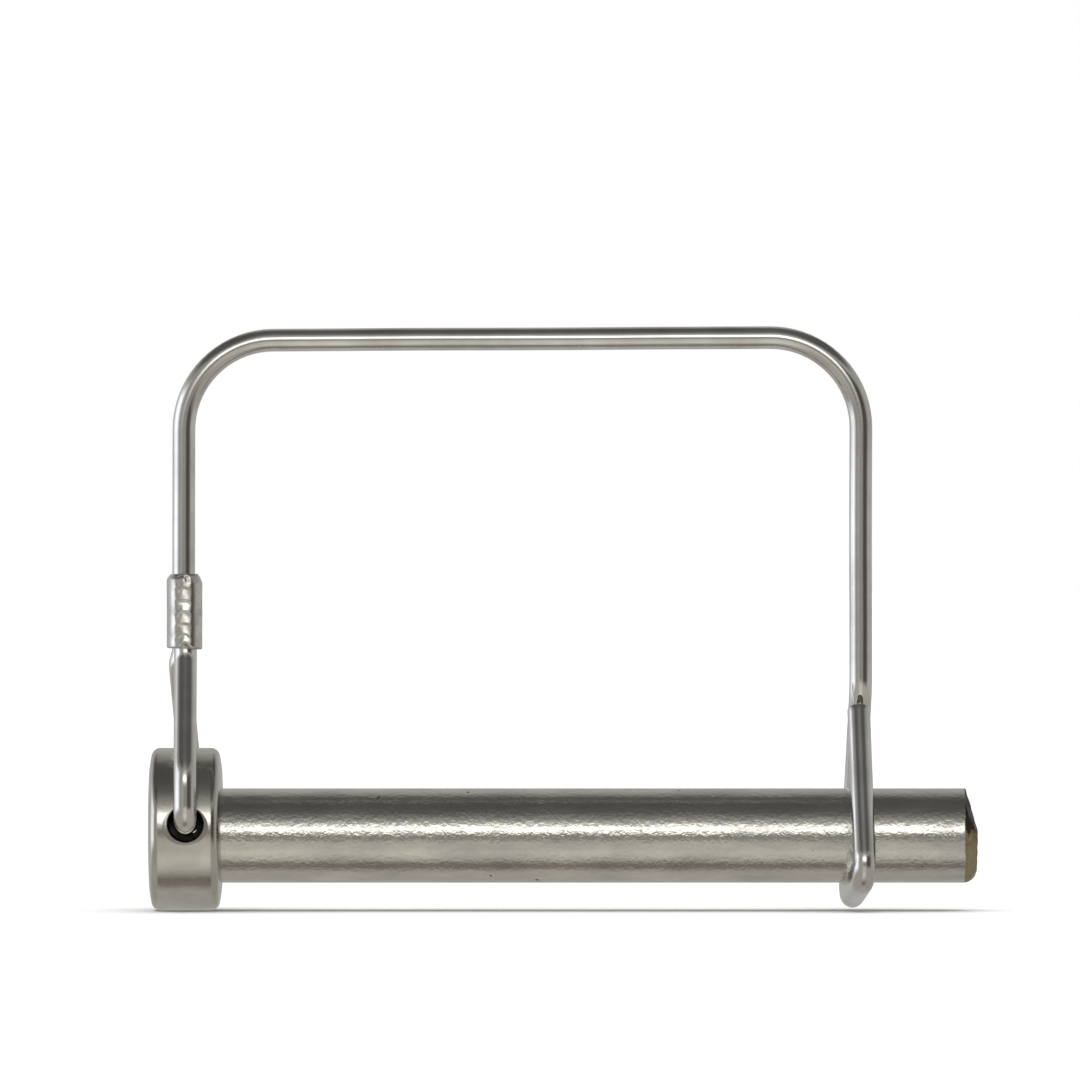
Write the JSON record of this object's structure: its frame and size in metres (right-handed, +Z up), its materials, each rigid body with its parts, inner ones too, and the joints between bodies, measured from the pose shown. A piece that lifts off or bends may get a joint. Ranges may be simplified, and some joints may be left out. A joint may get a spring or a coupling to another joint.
{
  "type": "hitch pin lock",
  "caption": "Straight steel hitch pin with a collar head and a sprung wire bail that is looped through the head and hooks round the shank near its tip to lock it.",
  "frame": {"origin": "on the shank's axis, in the plane of the head's underside", "axes": "+X along the shank towards its tip, +Z up to the bail's top bar, +Y to the back"},
  "size_m": [0.0835, 0.0218, 0.0589],
  "materials": {
    "shank_steel": "zinc-plated rod with a fine sparkling grain",
    "collar_steel": "zinc-plated and smooth, with faint turning marks",
    "bright_wire": "bright plated spring wire",
    "ferrule_metal": "plated sleeve with bright crimp dents"
  },
  "bodies": {
    "pin": {"pin_shank": "shank_steel", "head_collar": "collar_steel"},
    "bail": {"bail_wire": "bright_wire", "ferrule": "ferrule_metal"},
    "latch": {"latch_hook": "bright_wire"}
  },
  "joints": [
    {"name": "bail_swing", "type": "hinge", "parent": "pin", "child": "bail", "pos_m": [-0.0035, 0, 0.0013], "axis": [0, -1, 0], "range_deg": [0, 235]},
    {"name": "latch_flex", "type": "hinge", "parent": "bail", "child": "latch", "pos_m": [0.0702, 0, 0.0503], "axis": [0, -1, 0], "range_deg": [0, 14.5], "stiffness_Nm_per_rad": 2.6}
  ]
}
